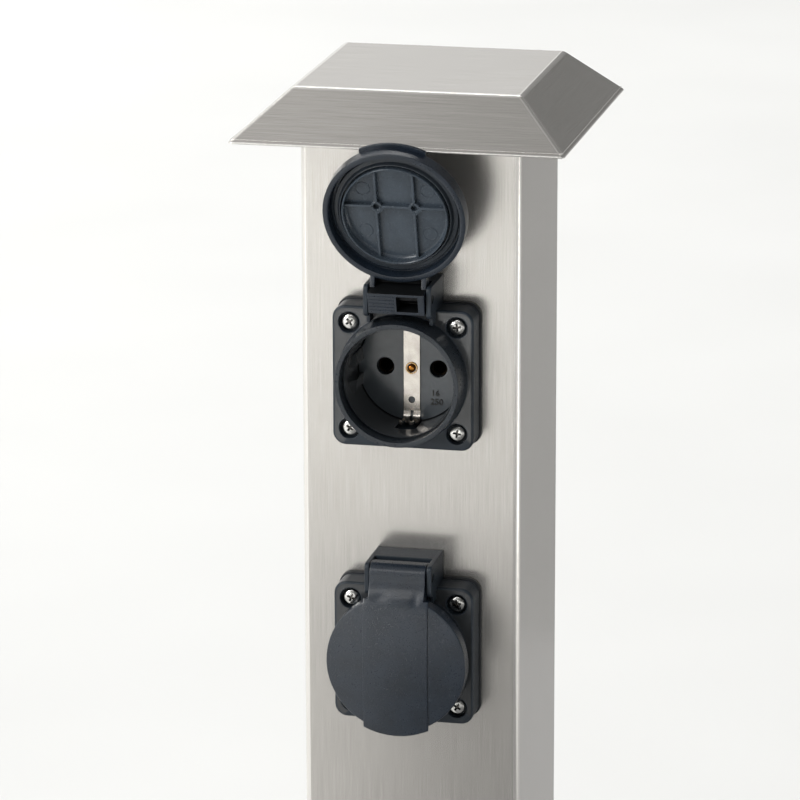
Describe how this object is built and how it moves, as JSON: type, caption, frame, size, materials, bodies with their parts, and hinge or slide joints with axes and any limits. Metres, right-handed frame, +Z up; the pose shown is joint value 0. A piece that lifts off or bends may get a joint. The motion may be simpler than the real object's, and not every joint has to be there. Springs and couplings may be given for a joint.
{
  "type": "garden socket post",
  "caption": "Steel garden post with a hipped roof and flange sockets, each under a hinged round lid.",
  "frame": {"origin": "on the post's axis, at the floor under the base plate", "axes": "+Z up the post, -Y out of the front face that holds the sockets, +X to the right"},
  "size_m": [0.14, 0.14, 0.4],
  "materials": {
    "brushed_steel": "satin brushed, grain along each face",
    "dark_plastic": "moulded, fine matt texture",
    "black_rubber": "matt",
    "nickel": "nickel plated, satin",
    "brass": "satin",
    "zinc_screw": "bright zinc plated",
    "grey_plastic": "moulded, matt",
    "brown_sleeve": "extruded wire insulation",
    "blue_sleeve": "extruded wire insulation",
    "green_sleeve": "extruded wire insulation"
  },
  "bodies": {
    "post_body": {"post_tube": "brushed_steel", "base_plate": "brushed_steel", "roof_cap": "brushed_steel", "roof_spigot": "brushed_steel", "roof_screws": "zinc_screw", "cable_bush": "black_rubber", "terminal_strip": "grey_plastic", "terminal_bars": "brass", "terminal_screws": "zinc_screw", "strip_screws": "zinc_screw", "earth_stud": "brushed_steel", "earth_washer": "zinc_screw", "earth_lug": "nickel", "earth_nut": "zinc_screw", "bond_wire": "green_sleeve", "upper_housing": "dark_plastic", "upper_gasket": "black_rubber", "upper_insert": "dark_plastic", "upper_earth_strip": "nickel", "upper_earth_rivet": "brass", "upper_earth_clamp": "brass", "upper_live_contact": "brass", "upper_neutral_contact": "brass", "upper_terminal_body": "dark_plastic", "upper_body_screws": "zinc_screw", "upper_clamp_screws": "zinc_screw", "upper_fixing_screws": "zinc_screw", "upper_fixing_nuts": "zinc_screw", "upper_hinge_pin": "zinc_screw", "upper_live_wire": "brown_sleeve", "upper_neutral_wire": "blue_sleeve", "upper_earth_wire": "green_sleeve", "lower_housing": "dark_plastic", "lower_gasket": "black_rubber", "lower_insert": "dark_plastic", "lower_earth_strip": "nickel", "lower_earth_rivet": "brass", "lower_earth_clamp": "brass", "lower_live_contact": "brass", "lower_neutral_contact": "brass", "lower_terminal_body": "dark_plastic", "lower_body_screws": "zinc_screw", "lower_clamp_screws": "zinc_screw", "lower_fixing_screws": "zinc_screw", "lower_fixing_nuts": "zinc_screw", "lower_hinge_pin": "zinc_screw", "lower_live_wire": "brown_sleeve", "lower_neutral_wire": "blue_sleeve", "lower_earth_wire": "green_sleeve"},
    "upper_lid_body": {"upper_lid": "dark_plastic", "upper_lid_seal": "black_rubber"},
    "lower_lid_body": {"lower_lid": "dark_plastic", "lower_lid_seal": "black_rubber"}
  },
  "joints": [
    {"name": "upper_lid_hinge", "type": "hinge", "parent": "post_body", "child": "upper_lid_body", "pos_m": [0, -0.053, 0.3303], "axis": [-1, 0, 0], "range_deg": [-163.56, 0]},
    {"name": "lower_lid_hinge", "type": "hinge", "parent": "post_body", "child": "lower_lid_body", "pos_m": [0, -0.053, 0.2303], "axis": [-1, 0, 0], "range_deg": [0, 150]}
  ]
}
